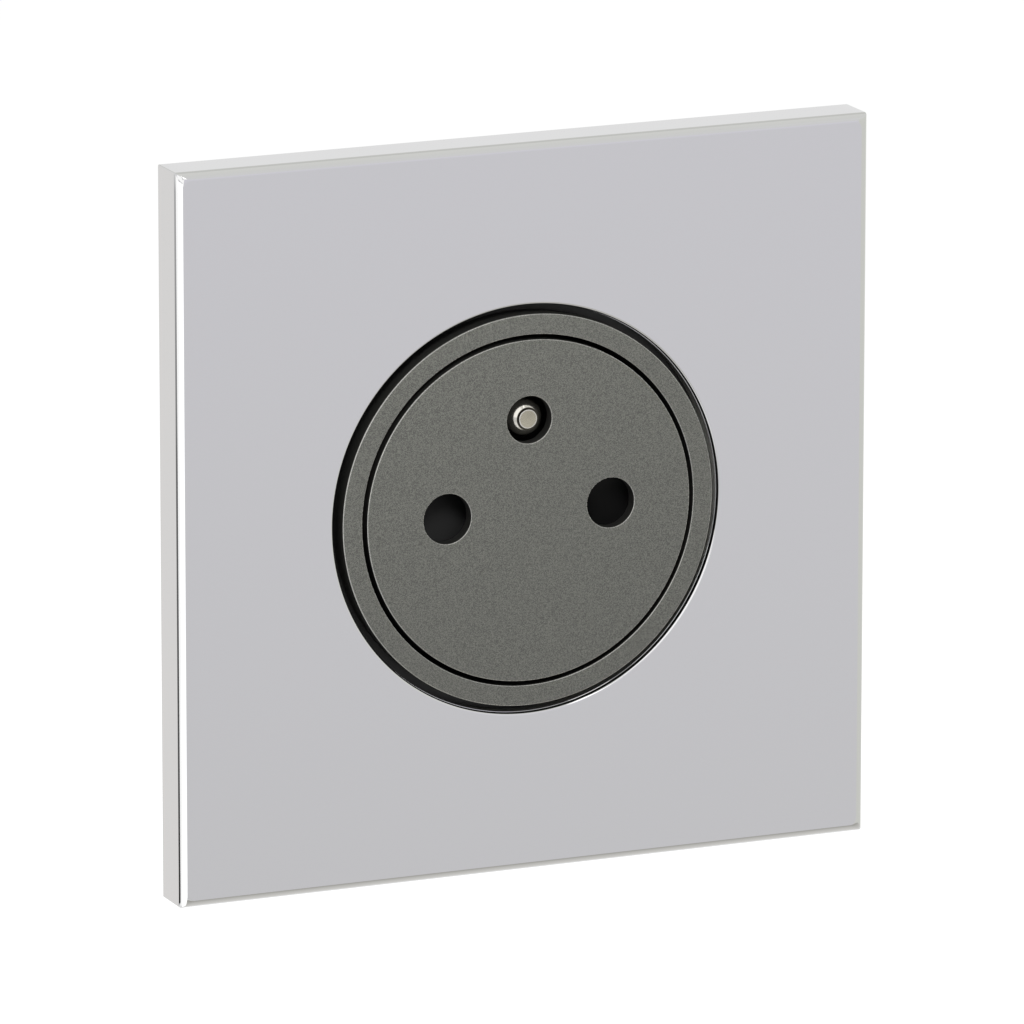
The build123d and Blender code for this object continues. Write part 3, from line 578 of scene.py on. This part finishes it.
def graphite_paint(name, colour):
    """Satin metallic paint: small flakes of differing lightness and sheen in a dark binder, under lacquer."""
    shader = Shader(name, colour, roughness=0.42, metallic=0.15)
    shader.surface.inputs["Coat Weight"].default_value = 0.4
    shader.surface.inputs["Coat Roughness"].default_value = 0.2
    lightness, sheen = shader.cells(size=0.07)
    shader.set("Base Color", shader.colours(lightness, low=shade(colour, 0.6), high=shade(colour, 1.4)))
    shader.set("Roughness", shader.between(sheen, low=0.3, high=0.46))
    shader.bump(shader.noise((0.16, 0.16, 0.16), detail=3), depth=0.006, strength=0.5)
    return shader.material


def moulded(name, colour, roughness, gloss=0.5, grain=0.22, depth=0.008):
    """Moulded plastic with the fine grain of its mould and slightly uneven gloss."""
    shader = Shader(name, colour, roughness)
    shader.surface.inputs["Specular IOR Level"].default_value = gloss
    patches = shader.noise((16, 16, 16))
    shader.set("Base Color", shader.colours(patches, low=shade(colour, 0.975), high=shade(colour, 1.02)))
    sheen = shader.noise((0.7, 0.7, 0.7), detail=3)
    shader.set("Roughness", shader.between(sheen, low=roughness - 0.06, high=roughness + 0.06))
    shader.bump(shader.noise((grain, grain, grain), detail=3), depth, strength=0.6)
    return shader.material


def drawn_metal(name, colour, roughness, lines, depth=0.003):
    """Rolled or drawn metal: fine lines along its length and uneven sheen."""
    shader = Shader(name, colour, roughness, metallic=1.0)
    patches = shader.noise((2, 2, 2), detail=4)
    shader.set("Base Color", shader.colours(patches, low=shade(colour, 0.86), high=shade(colour, 1.08)))
    sheen = shader.noise(lines, detail=3)
    shader.set("Roughness", shader.between(sheen, low=roughness - 0.08, high=roughness + 0.1))
    shader.bump(shader.noise(lines, detail=3), depth, strength=0.5)
    return shader.material


def zinc_plate(name, colour):
    """Zinc-plated sheet: soft crystal patches over rolled steel."""
    shader = Shader(name, colour, roughness=0.34, metallic=1.0)
    lightness, sheen = shader.cells(size=1.1)
    shader.set("Base Color", shader.colours(lightness, low=shade(colour, 0.95), high=shade(colour, 1.02)))
    shader.set("Roughness", shader.between(sheen, low=0.3, high=0.37))
    shader.bump(shader.noise((4, 0.2, 0.2), detail=3), depth=0.003, strength=0.4)
    return shader.material


def paint(piece, material):
    """Give a piece one material."""
    piece.data.materials.clear()
    piece.data.materials.append(material)


def paint_front(piece, paint_coat, edge, body, front):
    """Paint a piece's front, leave its rounded edges bare and show the plastic on its walls and back."""
    for material in (paint_coat, edge, body):
        piece.data.materials.append(material)
    for face in piece.data.polygons:
        if face.normal.y > WALL_NORMAL_Y or face.center.y > front * MM:
            face.material_index = 2
        elif face.normal.y > EDGE_NORMAL_Y:
            face.material_index = 1


def paint_pin(piece, plating, tip, groove):
    """Plate the earth pin, wear its tip and paint shade into the groove behind the tip as a dark metal."""
    low, high = corners("earth_pin")
    middle = (low.z + high.z) / 2
    for material in (plating, tip, groove):
        piece.data.materials.append(material)
    for face in piece.data.polygons:
        place = face.center / MM
        reach = math.hypot(place.x, place.z - middle)
        if place.y > low.y + EARTH_TIP_STEP + FLAT_STRIP or reach > EARTH_SHOULDER_RADIUS:
            continue
        # Painted shade: the step and the flat ring just behind the tip get a dark metal that stands in for
        # the shade in the groove.
        if place.y > low.y + EARTH_TIP_EDGE:
            face.material_index = 2
        elif reach < EARTH_WEAR_RADIUS:
            face.material_index = 1


def glow(name, first, last, axis):
    """A material that only gives light, shading along an axis from one colour to another."""
    material = bpy.data.materials.new(name)
    material.use_nodes = True
    nodes, links = material.node_tree.nodes, material.node_tree.links
    nodes.clear()
    coordinates = nodes.new("ShaderNodeTexCoord")
    split = nodes.new("ShaderNodeSeparateXYZ")
    ramp = nodes.new("ShaderNodeValToRGB")
    ramp.color_ramp.elements[0].color = (*first, 1)
    ramp.color_ramp.elements[1].color = (*last, 1)
    light = nodes.new("ShaderNodeEmission")
    output = nodes.new("ShaderNodeOutputMaterial")
    links.new(coordinates.outputs["Generated"], split.inputs["Vector"])
    links.new(split.outputs[axis], ramp.inputs["Fac"])
    links.new(ramp.outputs["Color"], light.inputs["Color"])
    links.new(light.outputs["Emission"], output.inputs["Surface"])
    return material


def card(name, corners_mm, first, last, axis):
    """A studio card, given by two equal rows of points, that shows only in reflections."""
    mesh = bmesh.new()
    rows = [[mesh.verts.new(Vector(point) * MM) for point in row] for row in corners_mm]
    for step in range(len(rows[0]) - 1):
        mesh.faces.new((rows[0][step], rows[0][step + 1], rows[1][step + 1], rows[1][step]))
    data = bpy.data.meshes.new(name)
    mesh.to_mesh(data)
    mesh.free()
    piece = bpy.data.objects.new(name, data)
    bpy.context.collection.objects.link(piece)
    piece.visible_camera = False
    piece.visible_diffuse = False
    piece.visible_shadow = False
    data.materials.append(glow(name, first, last, axis))


def wall_card(name, start, end, low, high, lower, upper, radius=CARD_RADIUS):
    """A curved upright card between two bearings, in degrees from the front towards the left."""
    turns = [math.radians(start + (end - start) * step / CARD_STEPS) for step in range(CARD_STEPS + 1)]
    arc = [(-radius * math.sin(turn), -radius * math.cos(turn)) for turn in turns]
    rows = [[(*point, height) for point in arc] for height in (low, high)]
    card(name, rows, lower, upper, "Z")


def level_card(name, height, left, right, front, back, near, far):
    """A level card above or below the socket, shading from its front edge to its back edge."""
    rows = [[(left, depth, height), (right, depth, height)] for depth in (front, back)]
    card(name, rows, near, far, "Y")


def area_light(name, direction, distance, width, height, power, target=(0, 0, 0)):
    """A soft rectangular lamp that faces a target in the socket."""
    towards = Vector(direction).normalized()
    lamp = bpy.data.lights.new(name, "AREA")
    lamp.shape = "RECTANGLE"
    lamp.size = width * MM
    lamp.size_y = height * MM
    lamp.energy = power
    holder = bpy.data.objects.new(name, lamp)
    bpy.context.collection.objects.link(holder)
    holder.location = (Vector(target) + towards * distance) * MM
    holder.rotation_mode = "QUATERNION"
    holder.rotation_quaternion = towards.to_track_quat("Z", "Y")
    return holder


def background_rays(nodes, links):
    """1 for the rays that look at the background: straight, in a mirror or through glass."""
    path = nodes.new("ShaderNodeLightPath")
    total = path.outputs["Is Camera Ray"]
    for ray in ("Is Glossy Ray", "Is Transmission Ray"):
        add = nodes.new("ShaderNodeMath")
        add.operation = "MAXIMUM"
        links.new(total, add.inputs[0])
        links.new(path.outputs[ray], add.inputs[1])
        total = add.outputs[0]
    return total


def make_world():
    """A white background over a plain ambient light."""
    world = bpy.data.worlds.new("studio")
    bpy.context.scene.world = world
    world.use_nodes = True
    nodes, links = world.node_tree.nodes, world.node_tree.links
    strength = nodes.new("ShaderNodeMapRange")
    strength.inputs["To Min"].default_value = AMBIENT
    strength.inputs["To Max"].default_value = 1.0
    links.new(background_rays(nodes, links), strength.inputs["Value"])
    light = nodes["Background"]
    light.inputs["Color"].default_value = (1, 1, 1, 1)
    links.new(strength.outputs["Result"], light.inputs["Strength"])


def make_floor():
    """A pale floor well below the socket. It is nearly white to the eye and still takes a shadow."""
    bpy.ops.mesh.primitive_plane_add(size=FLOOR_SIZE * MM, location=(0, 0, FLOOR_HEIGHT * MM))
    floor = bpy.context.object
    floor.name = "studio_floor"
    material = bpy.data.materials.new("studio_floor")
    material.use_nodes = True
    nodes, links = material.node_tree.nodes, material.node_tree.links
    nodes.clear()
    matt = nodes.new("ShaderNodeBsdfDiffuse")
    matt.inputs["Color"].default_value = (FLOOR_GREY, FLOOR_GREY, FLOOR_GREY, 1)
    faint = nodes.new("ShaderNodeBsdfDiffuse")
    faint.inputs["Color"].default_value = (FLOOR_SEEN_GREY, FLOOR_SEEN_GREY, FLOOR_SEEN_GREY, 1)
    light = nodes.new("ShaderNodeEmission")
    light.inputs["Strength"].default_value = FLOOR_SEEN_GLOW
    seen = nodes.new("ShaderNodeAddShader")
    links.new(faint.outputs[0], seen.inputs[0])
    links.new(light.outputs[0], seen.inputs[1])
    choose = nodes.new("ShaderNodeMixShader")
    links.new(background_rays(nodes, links), choose.inputs[0])
    links.new(matt.outputs[0], choose.inputs[1])
    links.new(seen.outputs[0], choose.inputs[2])
    output = nodes.new("ShaderNodeOutputMaterial")
    links.new(choose.outputs[0], output.inputs["Surface"])
    floor.data.materials.append(material)


def make_camera():
    """The photo's camera."""
    yaw, pitch, roll = (math.radians(angle) for angle in (CAMERA_YAW, CAMERA_PITCH, CAMERA_ROLL))
    forward = Vector((math.sin(yaw) * math.cos(pitch), math.cos(yaw) * math.cos(pitch), -math.sin(pitch)))
    level = Vector((math.cos(yaw), -math.sin(yaw), 0))
    right = level * math.cos(roll) + level.cross(forward) * math.sin(roll)
    target = Vector((CAMERA_TARGET_X, corners("cover_plate")[0].y, CAMERA_TARGET_Z))
    data = bpy.data.cameras.new("camera")
    data.sensor_width = CAMERA_SENSOR
    data.lens = CAMERA_LENS
    data.clip_end = CAMERA_REACH_M
    camera = bpy.data.objects.new("camera", data)
    bpy.context.collection.objects.link(camera)
    place = Matrix((right, right.cross(forward), -forward)).transposed().to_4x4()
    place.translation = (target - forward * CAMERA_DISTANCE) * MM
    camera.matrix_world = place
    bpy.context.scene.camera = camera


materials = {
    "polished_plate": polished_metal("polished_plate", (0.61, 0.61, 0.614)),
    "graphite": graphite_paint("graphite", (0.092, 0.093, 0.081)),
    "black_plastic": moulded("black_plastic", (0.012, 0.012, 0.011), roughness=0.45),
    "frame_plastic": moulded("frame_plastic", (0.3, 0.3, 0.28), roughness=0.4),
    "shutter_plastic": moulded("shutter_plastic", (0.009, 0.009, 0.009), roughness=0.42, gloss=0.1),
    "grey_plastic": moulded("grey_plastic", (0.52, 0.52, 0.5), roughness=0.48),
    "button_plastic": moulded("button_plastic", (0.75, 0.27, 0.06), roughness=0.36),
    "zinc_steel": zinc_plate("zinc_steel", (0.62, 0.64, 0.65)),
    "spring_steel": drawn_metal("spring_steel", (0.56, 0.56, 0.55), roughness=0.26, lines=SPRING_LINES),
    "brass": drawn_metal("brass", (0.72, 0.53, 0.25), roughness=0.26, lines=SHEET_LINES),
    "nickel": drawn_metal("nickel", (0.62, 0.6, 0.55), roughness=0.14, lines=PIN_LINES, depth=FINE_DEPTH),
}
bare_edge = drawn_metal("bare_edge", (0.35, 0.35, 0.33), roughness=0.26, lines=EVEN_LINES, depth=FINE_DEPTH)
worn_tip = drawn_metal("worn_tip", (0.42, 0.395, 0.315), roughness=0.26, lines=PIN_LINES, depth=FINE_DEPTH)
# Painted shade: a dark metal that stands in for the shade in the groove behind the earth pin's tip.
painted_groove_shade = drawn_metal("painted_groove_shade", (0.05, 0.046, 0.037), roughness=0.4, lines=EVEN_LINES, depth=FINE_DEPTH)
for subpart in frame["record"]["subparts"]:
    paint(NODES[subpart["node"]], materials[subpart["material_slot"]])

paint(make_cover_plate(), materials["polished_plate"])
for piece, node, edge in ((make_trim_ring(), "trim_ring", RING_EDGE), (make_face(), "face_disc", FACE_EDGE)):
    front = corners(node)[0].y + edge
    paint_front(piece, materials["graphite"], bare_edge, materials["black_plastic"], front)
paint_pin(make_earth_pin(), materials["nickel"], worn_tip, painted_groove_shade)
paint(make_return_spring(), materials["spring_steel"])
for pole in ("line", "neutral", "earth"):
    paint(make_clamp_spring(pole), materials["spring_steel"])

make_camera()
make_world()
make_floor()

# Upright cards: bearings from and to, heights from and to, colours at the lower and the upper edge
wall_card("front_card", -31, 5, -420, 120, (0.79, 0.79, 0.78), (1.0, 0.985, 1.065))
wall_card("front_upper_card", -31, 5, 120, 640, (0.965, 0.965, 0.97), (0.97, 0.973, 0.955))
wall_card("corner_softbox", -5, 5, -90, 130, (1.52, 1.52, 1.5), (1.53, 1.53, 1.52), SOFTBOX_RADIUS)
wall_card("left_card", 5, 65, -500, 0, (0.72, 0.72, 0.72), (0.95, 0.95, 0.96))
wall_card("left_softbox", 5, 65, 0, 900, (1.53, 1.53, 1.52), (1.57, 1.57, 1.57))
wall_card("left_low_softbox", 65, 110, -500, 40, (1.52, 1.52, 1.5), (1.54, 1.54, 1.53))
wall_card("left_flag", 110, 152, -260, -150, (0, 0, 0), (0.22, 0.22, 0.22))
wall_card("left_upper_flag", 110, 152, -150, -60, (0.3, 0.3, 0.3), (0.95, 0.95, 0.95))
wall_card("side_card", 152, 185, -500, 200, (1.0, 0.975, 0.955), (1.0, 0.995, 0.985))
wall_card("right_card", -150, -31, -500, 300, (0.87, 0.875, 0.83), (0.96, 0.97, 0.91))
wall_card("upper_softbox", -15, -3, 190, 612, UPPER_SOFTBOX_COLOUR, UPPER_SOFTBOX_COLOUR, SOFTBOX_RADIUS)

# Level cards: height, left and right end, front and back edge, colours at the front and the back edge
level_card("upper_softbox_top", 612, 20, 95, -650, -330, UPPER_SOFTBOX_COLOUR, UPPER_SOFTBOX_COLOUR)
level_card("ceiling_card", 620, -160, 900, -650, 220, (0.955, 0.958, 0.935), (1.0, 1.005, 0.965))
level_card("rear_ceiling_card", 620, -160, 1200, 220, 1900, REAR_CEILING_COLOUR, REAR_CEILING_COLOUR)
level_card("table_card", -300, -120, 900, -600, 60, (0.5, 0.49, 0.455), (1.0, 0.99, 0.955))

# The strip lamp shows only in reflections, and the others only light the socket
edge_turn = math.radians(EDGE_LIGHT_BEARING)
plate_corner = corners("cover_plate")[0]
edge_light = area_light(
    "edge_light",
    (-math.sin(edge_turn), -math.cos(edge_turn), 0),
    EDGE_LIGHT_DISTANCE,
    EDGE_LIGHT_WIDTH,
    EDGE_LIGHT_HEIGHT,
    EDGE_LIGHT_POWER,
    (plate_corner.x + PLATE_EDGE_RADIUS, plate_corner.y + PLATE_EDGE_RADIUS, EDGE_LIGHT_MIDDLE),
)
edge_light.visible_diffuse = False
edge_light.visible_camera = False
for name, direction, distance, size, power in (
    ("key_light", (-0.24, -0.7, 0.67), 190, 60, 0.36),
    ("right_light", (0.95, -0.12, 0.25), 1200, 800, 6),
    ("left_light", (-0.95, 0.15, 0.25), 1200, 800, 5),
    ("rear_light", (0.35, 0.8, 0.5), 1200, 800, 9),
):
    lamp = area_light(name, direction, distance, size, size, power)
    lamp.visible_glossy = False
    lamp.visible_camera = False

bpy.context.scene.view_settings.view_transform = "Standard"
